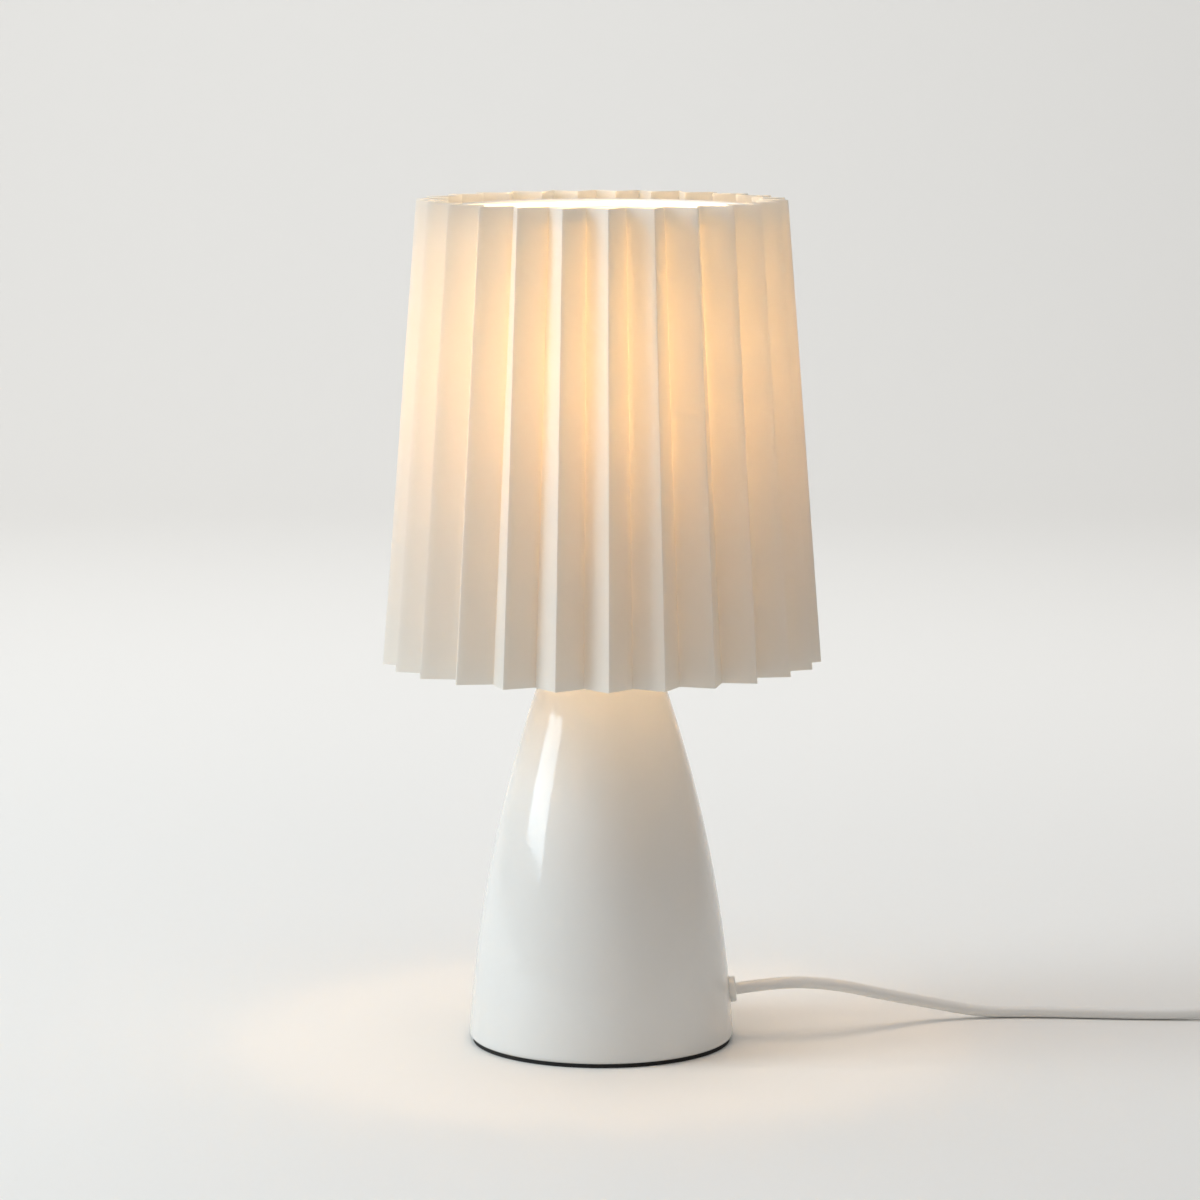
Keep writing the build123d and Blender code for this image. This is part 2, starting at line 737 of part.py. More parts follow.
# Put-away coil: spirals in, climbs a layer as it turns back, and spirals out again
def coil_centre(turn):
    """Centre of the wound lead after this many turns, as (x, y, z)."""
    from_reversal = abs(turn - coil_turns / 2)
    radius = coil_reversal_radius + coil_pitch * from_reversal
    angle = math.radians(90 - 360 * turn)
    climb = min(max((turn - coil_turns / 2 + 0.25) / 0.5, 0), 1)
    height = coil_low + coil_pitch * climb**2 * (3 - 2 * climb)
    return Vector(coil_x + radius * math.cos(angle), coil_y + radius * math.sin(angle), height)


def biarc(start, start_way, end, end_way):
    """Two arcs that leave start and reach end in the given directions."""
    gap = end - start
    ways = start_way + end_way
    spread = 2 * (1 - start_way.dot(end_way))
    reach = (-gap.dot(ways) + math.sqrt(gap.dot(ways) ** 2 + spread * gap.dot(gap))) / spread
    first, last = start + start_way * reach, end - end_way * reach
    middle = (first + last) / 2
    return [
        Edge.make_tangent_arc(start, start_way, middle),
        Edge.make_tangent_arc(middle, last - first, end),
    ]


coil_low = strap_thickness + touch_gap + cord_radius
coil_radius = coil_reversal_radius + coil_pitch * coil_turns / 2
coil_lead = 56.0  # from the switch's sleeve to the coil
coil_straight = 2 * cord_radius
coil_start = Vector(switch_exit + coil_lead, switch_line, coil_low)
coil_x = coil_start.X + coil_straight
coil_y = switch_line - coil_radius
to_coil_route = [
    (switch_exit, switch_line, cord_level),
    (switch_exit + coil_run, switch_line, cord_level),
    (coil_start.X - coil_run, switch_line, coil_low),
    tuple(coil_start),
]
pieces["cord_to_coil"] = routed("cord_to_coil", to_coil_route, cord_radius)

quarter_turns = round(4 * coil_turns)
stops = [coil_centre(index / 4) for index in range(quarter_turns + 1)]
ways = [
    (coil_centre(index / 4 + 0.001) - coil_centre(index / 4 - 0.001)).normalized()
    for index in range(quarter_turns + 1)
]
ways[0] = Vector(1, 0, 0)
ways[-1] = Vector(-1, 0, 0)
coil_end = stops[-1] - Vector(coil_straight, 0, 0)
coil_edges = [Edge.make_line(coil_start, stops[0])]
for index in range(quarter_turns):
    coil_edges += biarc(stops[index], ways[index], stops[index + 1], ways[index + 1])
coil_edges.append(Edge.make_line(stops[-1], coil_end))
coil_path = Wire(coil_edges)
pieces["cord_coil"] = swept("cord_coil", coil_path, cord_radius)


def least_gap(path, diameter):
    """The least space between turns of a wound tube, on points along its centre."""
    count = int(path.length / (diameter / 3))
    points = [path @ (index / count) for index in range(count + 1)]
    skip = math.ceil(3 * math.pi * diameter / (path.length / count))
    nearest = min(
        (points[i] - points[j]).length
        for i in range(len(points))
        for j in range(i + skip, len(points))
    )
    return nearest - diameter


print(f"cord_coil: least gap between turns {least_gap(coil_path, 2 * cord_radius):.2f} mm")

# Two straps round the bundle of turns, which the coil rests on
strap_space = cord_radius + 2 * touch_gap
inside_of_coil = coil_reversal_radius - cord_radius
strap_inner = math.sqrt(inside_of_coil**2 - (strap_width / 2) ** 2) - 2 * touch_gap
strap_outer = coil_radius + strap_space
strap_top = coil_low + coil_pitch + strap_space
loop_length = strap_outer - strap_inner + 2 * strap_thickness
loop_height = strap_top + strap_thickness
hole_height = loop_height - 2 * strap_thickness
loop = RectangleRounded(loop_length, loop_height, cord_radius) - RectangleRounded(
    loop_length - 2 * strap_thickness, hole_height, cord_radius - strap_thickness
)
strap_middle = (strap_inner + strap_outer) / 2
strap = Rot(90, 0, 0) * extrude(loop, strap_width / 2, both=True)
straps = Part()
for side in (-1, 1):
    straps += Pos(coil_x + side * strap_middle, coil_y, loop_height / 2) * strap
pieces["coil_straps"] = straps

# Plug, lying flat beside the coil
plug_level = plug_thickness / 2
plug_shift = 18.5  # towards the front, so that both pins can be reached past the lamp's foot
plug_y = coil_end.Y - plug_shift
plug_lead = 70.0  # from the coil to the plug's sleeve
plug_entry = coil_end.X - plug_lead
plug_rear = plug_entry - plug_sleeve_length
plug_front = plug_rear - plug_length
to_plug_route = [
    tuple(coil_end),
    (coil_end.X - plug_run, coil_end.Y, coil_end.Z),
    (plug_entry + plug_run, plug_y, plug_level),
    (plug_entry, plug_y, plug_level),
]
pieces["cord_to_plug"] = routed("cord_to_plug", to_plug_route, cord_radius)
plug_sleeve = sleeve(plug_entry, plug_y, plug_level, plug_sleeve_length, -1)
pieces["plug_sleeve"] = plug_sleeve
half_front, half_rear = plug_width / 2, plug_rear_width / 2
plug_plan = [
    (plug_front, -half_front),
    (plug_front + plug_straight, -half_front),
    (plug_rear, -half_rear),
    (plug_rear, half_rear),
    (plug_front + plug_straight, half_front),
    (plug_front, half_front),
]
plug = Pos(0, plug_y, 0) * extrude(make_face(Polyline(*plug_plan, close=True)), plug_thickness)
upright = plug.edges().filter_by(Axis.Z).sort_by(Axis.X)
plug = fillet(upright[2:4], plug_shoulder_radius)
plug = fillet(plug.edges().filter_by(Axis.Z).sort_by(Axis.X)[:2], plug_corner_radius)
flat_faces = plug.faces().filter_by(Axis.Z)
plug = fillet(flat_faces.edges(), plug_edge) - plug_sleeve
pins = Part()
pin_sleeves = Part()
for side in (-1, 1):
    pin_frame = Pos(plug_front, plug_y + side * pin_spacing / 2, plug_level) * Rot(0, -90, 0)
    pins += pin_frame * rod(pin_core_radius, -pin_depth, pin_sleeve_length)
    pins += pin_frame * rod(pin_radius, pin_sleeve_length, pin_length)
    pin_sleeves += pin_frame * ring(pin_core_radius + touch_gap, pin_sleeve_radius, 0, pin_sleeve_length)
    plug -= pin_frame * rod(pin_core_radius + touch_gap, -pin_depth, 1)
pieces["plug_body"] = plug
pieces["plug_pins"] = pins
pieces["pin_sleeves"] = pin_sleeves

for name, piece in pieces.items():
    export_step(piece, f"parts/{name}.step")

print(f"lamp {cover_top:.1f} mm tall, bulb globe centre at {globe_centre:.1f} mm")
print(f"switch axle at x {switch_middle:.2f}, y {switch_line:.2f}, z {axle_height:.2f}")
pin_tip = plug_front - pin_length
print(f"plug pins from x {plug_front:.2f} to {pin_tip:.2f}, y {plug_y:.3f}, z {plug_level:.2f}")
print(f"bush face at {gland_face}, coil centre {coil_x:.2f}, {coil_y:.3f}")
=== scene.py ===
import math
import random

import bmesh
import bpy
from mathutils import Matrix, Vector


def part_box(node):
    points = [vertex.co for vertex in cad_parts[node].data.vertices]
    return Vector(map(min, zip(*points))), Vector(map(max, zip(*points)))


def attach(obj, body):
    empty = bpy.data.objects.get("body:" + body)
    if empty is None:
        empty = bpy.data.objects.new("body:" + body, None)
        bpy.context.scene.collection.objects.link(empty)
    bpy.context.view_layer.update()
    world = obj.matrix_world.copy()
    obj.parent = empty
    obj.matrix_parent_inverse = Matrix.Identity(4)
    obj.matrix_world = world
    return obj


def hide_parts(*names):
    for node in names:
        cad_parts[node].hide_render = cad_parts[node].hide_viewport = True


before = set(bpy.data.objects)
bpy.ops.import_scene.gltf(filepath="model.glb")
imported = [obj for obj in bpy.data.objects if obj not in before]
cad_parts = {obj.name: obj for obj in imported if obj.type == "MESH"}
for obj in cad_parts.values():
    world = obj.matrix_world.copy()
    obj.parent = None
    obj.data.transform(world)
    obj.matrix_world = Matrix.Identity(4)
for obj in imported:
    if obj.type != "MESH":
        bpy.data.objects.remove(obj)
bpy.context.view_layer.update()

MM = 0.001

# Camera that stands where the photograph was taken from
CAMERA_AT = (-0.0006, -1.850, 0.4415)
CAMERA_DOWN = 0.1389  # radians below the horizon
LENS_MM = 137.2
SENSOR_MM = 36.0

# Ceramic, its height read from the frame
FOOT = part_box("ceramic_body")[0].z
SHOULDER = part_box("ceramic_body")[1].z
FOOT_RADIUS = 54.4 * MM
MIDDLE_RADIUS = 43.4 * MM
TOP_RADIUS = 18.8 * MM
WALL = 4.5 * MM
CEILING = 6.0 * MM
FOOT_EDGE = 1.6 * MM
TOP_EDGE = 3.0 * MM
NECK_HOLE = 5.05 * MM
BUSH_HOLE = 4.05 * MM

# Flanged bush, its heights measured from its seat on the ceramic, along the lead
BUSH_HEIGHT = 20.5 * MM
BUSH_BORE = 2.6 * MM
BUSH_SHANK = 4.0 * MM
BUSH_LIP = 4.7 * MM
BUSH_FLANGE = 5.3 * MM
BUSH_INNER_END = -6.4 * MM
BUSH_LIP_END = -5.0 * MM
BUSH_LIP_SLOPE = 0.5 * MM
BUSH_SEAT = -0.4 * MM
BUSH_FACE = 2.5 * MM
BUSH_FACE_EDGE = 0.8 * MM
BUSH_SEAT_EDGE = (0.2 * MM, 0.5 * MM)
BUSH_BORE_EDGE = 0.5 * MM

# Shade, its heights read from the frame
PLEATS = 26
FOLDS = 2 * PLEATS
PLEAT_PHASE = math.radians(2.0)
PANEL = 14.65 * MM
RIDGE_BOTTOM = 90.0 * MM
RIDGE_TOP = 75.5 * MM
SHEET = 0.45 * MM
LINER_WALL = 0.5 * MM
RING_TO_LINER = 0.6 * MM
SHADE_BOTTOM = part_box("pleated_cover")[0].z
SHADE_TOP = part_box("pleated_cover")[1].z
LINER_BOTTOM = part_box("shade_liner")[0].z
LINER_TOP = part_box("shade_liner")[1].z

# Small unevenness of the folding
FOLD_SEED = 7
FOLD_SWAY = 0.25  # degrees
FOLD_LEAN = 0.18  # degrees, opposite ways at the two hems
PANEL_BOW = 0.16 * MM
BOW_AT_HEM = 0.15  # place on the bow's half wave where the hem lies
FOLD_SHARE = 0.035  # of a panel's width, taken by the rounding of each fold
FOLD_PULL = 0.9
VALLEY_ROOM = 0.15 * MM
PANEL_STEPS = 6
SHADE_ROWS = 40
CREASE_REACH = 1.5  # steps across a panel
SHARP_FROM = math.radians(22)

# Lead
CORD_RADIUS = 2.5 * MM

# Bulb
GLOBE_RADIUS = 30.0 * MM
GLOBE_WALL = 1.2 * MM
GLOBE_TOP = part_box("bulb_globe")[1].z
GLOBE_CENTRE = GLOBE_TOP - GLOBE_RADIUS
GLOBE_FROM = 89.0  # degrees above the globe's middle
GLOBE_TO = -41.8
GLOW = 30.0

# Soft lamps: name, place, aim, size, watts, tint
LIGHTS = (
    ("key", (-1.48, -0.30, 0.85), (0, 0, 0.2), (0.8, 1.2), 17.5, (0.80, 0.92, 1.0)),
    ("top", (-0.1, -0.1, 2.6), (0.0, -0.1, 0.0), (2.4, 2.0), 31.0, (1.0, 0.985, 0.98)),
    ("back", (-0.5, 0.9, 1.4), (-0.2, 2.6, 0.3), (3.0, 0.6), 14.5, (1.0, 1.0, 1.0)),
)
WORLD_TINT = (1.0, 0.97, 0.95, 1.0)
WORLD_STRENGTH = 0.28

# Floor that bends up into a backdrop, in metres
FLOOR_REACH = 6.0
FLOOR_BACK = 2.6
FLOOR_BEND = 0.8
FLOOR_TOP = 5.0
FLOOR_BEND_STEPS = 16


def material(name):
    """A new node material, emptied, with its tree and output."""
    made = bpy.data.materials.new(name)
    made.use_nodes = True
    tree = made.node_tree
    tree.nodes.clear()
    return made, tree, tree.nodes.new("ShaderNodeOutputMaterial")


def node(tree, kind, values=None, **settings):
    """A node with its settings and its input values; a socket as a value is linked."""
    made = tree.nodes.new(kind)
    for key, value in settings.items():
        setattr(made, key, value)
    for key, value in (values or {}).items():
        if isinstance(value, bpy.types.NodeSocket):
            tree.links.new(value, made.inputs[key])
        else:
            made.inputs[key].default_value = value
    return made


def spot(tree):
    """Object coordinates, in metres in the lamp's frame."""
    return node(tree, "ShaderNodeTexCoord").outputs["Object"]


def noise(tree, scale, detail=4.0, roughness=0.5, where=None):
    """Noise over the object's own space, from 0 to 1."""
    made = node(tree, "ShaderNodeTexNoise", {
        "Vector": where or spot(tree), "Scale": scale, "Detail": detail, "Roughness": roughness,
    })
    return made.outputs["Fac"]


def span(tree, value, low, high, to_low, to_high):
    """Maps a value from one range to another, held at the ends."""
    made = node(tree, "ShaderNodeMapRange", {
        "Value": value, "From Min": low, "From Max": high, "To Min": to_low, "To Max": to_high,
    })
    return made.outputs["Result"]


def blend_colour(tree, share, first, second):
    """A mix of two colours."""
    made = node(tree, "ShaderNodeMix", data_type="RGBA")
    for index, value in ((0, share), (6, first), (7, second)):
        if isinstance(value, bpy.types.NodeSocket):
            tree.links.new(value, made.inputs[index])
        else:
            made.inputs[index].default_value = value
    return made.outputs[2]


def bump(tree, height, strength, distance, normal=None):
    """A bump normal from a height."""
    values = {"Height": height, "Strength": strength, "Distance": distance}
    if normal:
        values["Normal"] = normal
    return node(tree, "ShaderNodeBump", values).outputs["Normal"]


def colour(red, green, blue):
    """A linear colour from 0 to 255 sRGB values."""
    channels = []
    for value in (red, green, blue):
        share = value / 255
        channels.append(share / 12.92 if share <= 0.04045 else ((share + 0.055) / 1.055) ** 2.4)
    return (*channels, 1.0)


def dimmed(tint, share):
    """A colour at a share of its brightness."""
    return tuple(share * channel for channel in tint[:3]) + (1.0,)


def principled(tree, **inputs):
    """A Principled shader; underscores in the names stand for spaces."""
    values = {name.replace("_", " "): value for name, value in inputs.items()}
    return node(tree, "ShaderNodeBsdfPrincipled", values)


def glaze():
    """Glossy white glaze: a soft orange-peel in the gloss and a faint cloudiness in the colour."""
    made, tree, out = material("white_glaze")
    cloud = noise(tree, 22.0, 3.0)
    base = blend_colour(tree, cloud, colour(230, 229, 225), colour(236, 235, 232))
    peel = bump(tree, noise(tree, 160.0, 2.0), 0.25, 0.0004)
    ripple = bump(tree, noise(tree, 28.0, 2.0), 0.35, 0.0012, peel)
    smear = span(tree, noise(tree, 60.0, 5.0), 0.3, 0.7, 0.07, 0.13)
    shader = principled(tree, Base_Color=base, Roughness=smear, Normal=ripple, IOR=1.52)
    tree.links.new(shader.outputs[0], out.inputs[0])
    return made


def bisque():
    """The dry, unglazed ceramic of the foot rim and the inside."""
    made, tree, out = material("bisque")
    grain = noise(tree, 900.0, 6.0, 0.7)
    base = blend_colour(tree, grain, colour(214, 206, 192), colour(232, 226, 214))
    shader = principled(tree, Base_Color=base, Roughness=0.85, Normal=bump(tree, grain, 0.5, 0.0004))
    tree.links.new(shader.outputs[0], out.inputs[0])
    return made


def foam():
    """Black closed-cell foam."""
    made, tree, out = material("black_foam")
    cells = node(tree, "ShaderNodeTexVoronoi", {"Vector": spot(tree), "Scale": 1400.0})
    base = blend_colour(tree, noise(tree, 300.0), colour(24, 23, 22), colour(40, 39, 37))
    pores = bump(tree, cells.outputs["Distance"], 0.6, 0.0003)
    shader = principled(tree, Base_Color=base, Roughness=0.9, Normal=pores)
    tree.links.new(shader.outputs[0], out.inputs[0])
    return made


def sheet(name, tint, through, share, grain_scale, crease_share=None):
    """A translucent sheet with a paper grain.

    A share of its light comes from behind, spread through it, and more along its inner creases.
    """
    made, tree, out = material(name)
    fibres = noise(tree, grain_scale, 6.0, 0.65)
    if crease_share:
        crease = node(tree, "ShaderNodeAttribute", attribute_name="crease").outputs["Fac"]
        share = span(tree, crease, 0.0, 1.0, share, crease_share)
    mottle = noise(tree, 60.0, 3.0)
    base = blend_colour(tree, mottle, tint, dimmed(tint, 0.97))
    glow = blend_colour(tree, mottle, through, dimmed(through, 0.95))
    front = principled(
        tree, Base_Color=base, Roughness=0.55, Normal=bump(tree, fibres, 0.12, 0.0001), IOR=1.4,
        Sheen_Weight=0.1, Sheen_Roughness=0.4,
    )
    back = node(tree, "ShaderNodeBsdfTranslucent", {"Color": glow})
    mixed = node(tree, "ShaderNodeMixShader", {0: share, 1: front.outputs[0], 2: back.outputs[0]})
    tree.links.new(mixed.outputs[0], out.inputs[0])
    return made


def moulded(name, tint, roughness=0.32, grain=0.12, scale=700.0):
    """Moulded plastic or rubber with a fine spark-eroded grain."""
    made, tree, out = material(name)
    fine = bump(tree, noise(tree, scale, 4.0), grain, 0.0003)
    worn = span(tree, noise(tree, 45.0, 4.0), 0.3, 0.7, roughness - 0.05, roughness + 0.07)
    base = blend_colour(tree, noise(tree, 30.0), tint, dimmed(tint, 0.965))
    shader = principled(tree, Base_Color=base, Roughness=worn, Normal=fine, IOR=1.48)
    tree.links.new(shader.outputs[0], out.inputs[0])
    return made


def metal(name, tint, roughness, brushed=400.0):
    """Plated or stamped metal with fine turning marks and small stains."""
    made, tree, out = material(name)
    stretched = node(tree, "ShaderNodeMapping", {"Vector": spot(tree), "Scale": (1.0, 1.0, 12.0)})
    marks = bump(tree, noise(tree, brushed, 4.0, 0.6, stretched.outputs[0]), 0.15, 0.0002)
    stain = span(tree, noise(tree, 120.0, 5.0), 0.35, 0.7, roughness, roughness + 0.15)
    base = blend_colour(tree, noise(tree, 90.0), tint, dimmed(tint, 0.86))
    shader = principled(tree, Base_Color=base, Metallic=1.0, Roughness=stain, Normal=marks)
    tree.links.new(shader.outputs[0], out.inputs[0])
    return made


def lit_globe():
    """The frosted globe, lit from inside, a little warmer and dimmer towards its foot."""
    made, tree, out = material("lit_globe")
    height = node(tree, "ShaderNodeSeparateXYZ", {0: spot(tree)}).outputs["Z"]
    upward = span(tree, height, GLOBE_CENTRE - GLOBE_RADIUS, GLOBE_CENTRE, 0.0, 1.0)
    frost = span(tree, noise(tree, 40.0, 2.0), 0.3, 0.7, 0.35, 0.5)
    glow = blend_colour(tree, upward, colour(246, 188, 122), colour(248, 212, 162))
    shader = principled(
        tree, Base_Color=colour(250, 244, 232), Roughness=frost,
        Emission_Color=glow, Emission_Strength=GLOW,
    )
    tree.links.new(shader.outputs[0], out.inputs[0])
    return made


GLAZE = glaze()
BISQUE = bisque()
FOAM = foam()
PLEAT = sheet("pleat_sheet", colour(247, 246, 243), colour(255, 248, 236), 0.42, 900.0, 0.52)
LINER = sheet("liner_sheet", colour(247, 245, 240), colour(255, 250, 240), 0.6, 500.0)
WHITE = moulded("white_plastic", colour(240, 239, 235))
SHEATH = moulded("lead_sheath", colour(238, 237, 234), 0.42, 0.2, 500.0)
SLEEVE = moulded("soft_sleeve", colour(234, 233, 229), 0.5, 0.3, 600.0)
POWDER = moulded("powder_coat", colour(236, 235, 231), 0.45, 0.5, 1200.0)
CORE = moulded("core_plastic", colour(226, 222, 210), 0.5, 0.2)
HOUSING = moulded("bulb_housing_plastic", colour(238, 237, 233), 0.4, 0.15)
BLACK = moulded("black_plastic", colour(26, 26, 27), 0.35, 0.15)
BROWN = moulded("brown_insulation", colour(96, 58, 34), 0.45, 0.15)
BLUE = moulded("blue_insulation", colour(52, 92, 158), 0.45, 0.15)
MASK = moulded("solder_mask", colour(238, 238, 232), 0.4, 0.1)
ZINC = metal("zinc", colour(196, 198, 198), 0.32)
BRASS = metal("brass", colour(214, 178, 104), 0.28)
NICKEL = metal("nickel", colour(208, 206, 200), 0.22)
GLOBE = lit_globe()

NODE_MATERIALS = {
    "foot_pad": FOAM, "threaded_nipple": ZINC, "inner_washer": ZINC, "hex_nut": ZINC,
    "neck_disc": POWDER, "inner_cord": SHEATH, "cord_clamp": WHITE, "holder_cap": WHITE,
    "holder_skirt": WHITE, "holder_insert": CORE, "screw_shell": BRASS, "centre_contact": BRASS,
    "terminal_screws": BRASS, "neutral_wire": BLUE, "live_wire": BROWN, "shade_ring_nut": WHITE,
    "top_wire_ring": POWDER, "bottom_wire_ring": POWDER, "fitter_ring": POWDER,
    "fitter_arms": POWDER, "bulb_tip": NICKEL, "bulb_insulator": BLACK, "bulb_cap": NICKEL,
    "bulb_housing": HOUSING, "led_board": MASK, "entry_sleeve": SLEEVE, "exit_sleeve": SLEEVE,
    "switch_lower_shell": WHITE, "switch_upper_shell": WHITE, "switch_rocker": WHITE,
    "rocker_axle": ZINC, "switch_screws": ZINC, "contact_blades": BRASS, "through_wire": BLUE,
    "coil_straps": SLEEVE, "plug_sleeve": SLEEVE, "plug_body": WHITE, "plug_pins": NICKEL,
    "pin_sleeves": BLACK,
}
for name, finish in NODE_MATERIALS.items():
    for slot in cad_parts[name].material_slots:
        slot.material = finish


def piece(name, mesh, body, finishes, replaced):
    """Links a mesh as a named piece that rides on a body and stands for CAD nodes."""
    made = bpy.data.objects.new(name, mesh)
    bpy.context.scene.collection.objects.link(made)
    for finish in finishes:
        mesh.materials.append(finish)
    for face in mesh.polygons:
        face.use_smooth = True
    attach(made, body)
    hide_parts(*replaced)
    return made


def finished_mesh(name, build):
    """A mesh from what was built, with its faces turned outwards."""
    bmesh.ops.recalc_face_normals(build, faces=build.faces)
    mesh = bpy.data.meshes.new(name)
    build.to_mesh(mesh)
    build.free()
    return mesh


def lathe(name, profile, segments=192, closed=True):
    """A mesh turned about Z from (radius, height) points; a point on the axis becomes one vertex."""
    build = bmesh.new()
    rings = []
    for radius, height in profile:
        if radius == 0:
            rings.append([build.verts.new((0, 0, height))])
            continue
        angles = [2 * math.pi * index / segments for index in range(segments)]
        ring = [(radius * math.cos(angle), radius * math.sin(angle), height) for angle in angles]
        rings.append([build.verts.new(point) for point in ring])
    pairs = list(zip(rings, rings[1:]))
    if closed and len(rings[0]) > 1:
        pairs.append((rings[-1], rings[0]))
    for low, high in pairs:
        for index in range(segments):
            after = (index + 1) % segments
            corners = [low[index % len(low)], low[after % len(low)]]
            corners += [high[after % len(high)], high[index % len(high)]]
            unique = list(dict.fromkeys(corners))
            if len(unique) > 2:
                build.faces.new(unique)
    return finished_mesh(name, build)


def arc(centre, radius, start, end, steps):
    """Points on an arc in the (radius, height) plane, angles in degrees."""
    points = []
    for step in range(steps + 1):
        angle = math.radians(start + (end - start) * step / steps)
        points.append((centre[0] + radius * math.cos(angle), centre[1] + radius * math.sin(angle)))
    return points


def apply_modifiers(made):
    """Replaces an object's mesh by what its modifiers make of it."""
    bpy.context.view_layer.update()
    seen = made.evaluated_get(bpy.context.evaluated_depsgraph_get())
    mesh = bpy.data.meshes.new_from_object(seen)
    made.modifiers.clear()
    made.data = mesh


def circle_through(a, b, c):
    """Centre and radius of the circle through three (radius, height) points."""
    (ax, ay), (bx, by), (cx, cy) = a, b, c
    d = 2 * (ax * (by - cy) + bx * (cy - ay) + cx * (ay - by))
    a2, b2, c2 = ax**2 + ay**2, bx**2 + by**2, cx**2 + cy**2
    x = (a2 * (by - cy) + b2 * (cy - ay) + c2 * (ay - by)) / d
    y = (a2 * (cx - bx) + b2 * (ax - cx) + c2 * (bx - ax)) / d
    return x, y, math.hypot(ax - x, ay - y)


def ceramic_radius(height, inset=0.0):
    """Radius of the ceramic's outline at a height, moved inwards by inset."""
    middle = (FOOT + SHOULDER) / 2
    x, y, radius = circle_through(
        (FOOT_RADIUS - inset, FOOT), (MIDDLE_RADIUS - inset, middle), (TOP_RADIUS - inset, SHOULDER)
    )
    return x + math.sqrt(radius**2 - (height - y) ** 2)


def ceramic_profile():
    """The shell's outline: rounded foot, outside, shoulder, neck hole and inside."""
    outer_steps, inner_steps = 90, 30
    low, high = FOOT + FOOT_EDGE, SHOULDER - TOP_EDGE
    ceiling = SHOULDER - CEILING
    neck_flat = 0.6 * TOP_RADIUS
    profile = arc((ceramic_radius(low) - FOOT_EDGE, low), FOOT_EDGE, -90, 0, 6)[:-1]
    for step in range(outer_steps + 1):
        height = low + (high - low) * step / outer_steps
        profile.append((ceramic_radius(height), height))
    profile += arc((ceramic_radius(high) - TOP_EDGE, high), TOP_EDGE, 0, 90, 8)[1:]
    profile += [(neck_flat, SHOULDER), (NECK_HOLE, SHOULDER), (NECK_HOLE, ceiling)]
    for step in range(inner_steps + 1):
        height = ceiling + (FOOT - ceiling) * step / inner_steps
        profile.append((ceramic_radius(height, WALL), height))
    return profile


def is_dry(face):
    """Whether a face of the ceramic is unglazed: the inside and the rim it stands on."""
    middle = face.center
    reach = math.hypot(middle.x, middle.y)
    inside = reach < ceramic_radius(middle.z) - 0.6 * WALL and middle.z < SHOULDER - 0.1 * MM
    return inside or middle.z < FOOT + 0.05 * MM


def ceramic_body():
    """The glazed shell, with its dry foot rim and inside, and the hole for the bush."""
    mesh = lathe("glazed_body", ceramic_profile())
    made = piece("glazed_body", mesh, "base", [GLAZE, BISQUE], ["ceramic_body"])
    for face in mesh.polygons:
        face.material_index = 1 if is_dry(face) else 0
    reach = 0.02
    cutter_profile = [(0, -reach), (BUSH_HOLE, -reach), (BUSH_HOLE, reach), (0, reach)]
    cutter = bpy.data.objects.new("bush_hole", lathe("bush_hole", cutter_profile, 48, False))
    bpy.context.scene.collection.objects.link(cutter)
    cutter.matrix_world = bush_frame()
    cut = made.modifiers.new("bush_hole", "BOOLEAN")
    cut.object = cutter
    cut.operation = "DIFFERENCE"
    cut.solver = "EXACT"
    apply_modifiers(made)
    bpy.data.objects.remove(cutter)


def bush_frame():
    """The bush's place: square to the wall on the right, Z along the lead."""
    half = 0.5 * MM
    slope = (ceramic_radius(BUSH_HEIGHT - half) - ceramic_radius(BUSH_HEIGHT + half)) / (2 * half)
    tilt = math.atan(slope)
    seat = Vector((ceramic_radius(BUSH_HEIGHT), 0, BUSH_HEIGHT))
    return Matrix.Translation(seat) @ Matrix.Rotation(math.pi / 2 - tilt, 4, "Y")


def cord_bush():
    """The flanged bush: a soft-edged disc, its shank through the wall and the lip inside."""
    seat_edge, seat_rise = BUSH_SEAT_EDGE
    edge, bore_edge = BUSH_FACE_EDGE, BUSH_BORE_EDGE
    profile = [(BUSH_BORE, BUSH_INNER_END), (BUSH_LIP, BUSH_INNER_END), (BUSH_LIP, BUSH_LIP_END)]
    profile += [(BUSH_SHANK, BUSH_LIP_END + BUSH_LIP_SLOPE), (BUSH_SHANK, BUSH_SEAT)]
    profile += [(BUSH_FLANGE - seat_edge, BUSH_SEAT), (BUSH_FLANGE, BUSH_SEAT + seat_rise)]
    profile += arc((BUSH_FLANGE - edge, BUSH_FACE - edge), edge, 0, 90, 5)
    profile += arc((BUSH_BORE + bore_edge, BUSH_FACE - bore_edge), bore_edge, 90, 180, 4)
    mesh = lathe("flanged_bush", profile, 64)
    mesh.transform(bush_frame())
    piece("flanged_bush", mesh, "base", [WHITE], ["cord_bush"])


def valley_radius(ridge):
    """Valley radius whose panel to the ridge has the panel width."""
    half_pitch = math.pi / PLEATS
    across = ridge * math.sin(half_pitch)
    return ridge * math.cos(half_pitch) - math.sqrt(PANEL**2 - across**2)


def fold_corners(share, sway, lean):
    """The zigzag's corners at a share of the cover's height, a ridge first."""
    height = SHADE_BOTTOM + (SHADE_TOP - SHADE_BOTTOM) * share
    ridge = RIDGE_BOTTOM + (RIDGE_TOP - RIDGE_BOTTOM) * share
    valley = valley_radius(RIDGE_BOTTOM) * (1 - share) + valley_radius(RIDGE_TOP) * share
    corners = []
    for index in range(FOLDS):
        drift = FOLD_SWAY * sway[index] + FOLD_LEAN * lean[index] * (2 * share - 1)
        angle = PLEAT_PHASE - math.pi / 2 + index * math.pi / PLEATS + math.radians(drift)
        reach = valley + VALLEY_ROOM if index % 2 else ridge - SHEET / 2
        corners.append(Vector((reach * math.cos(angle), reach * math.sin(angle), height)))
    return corners


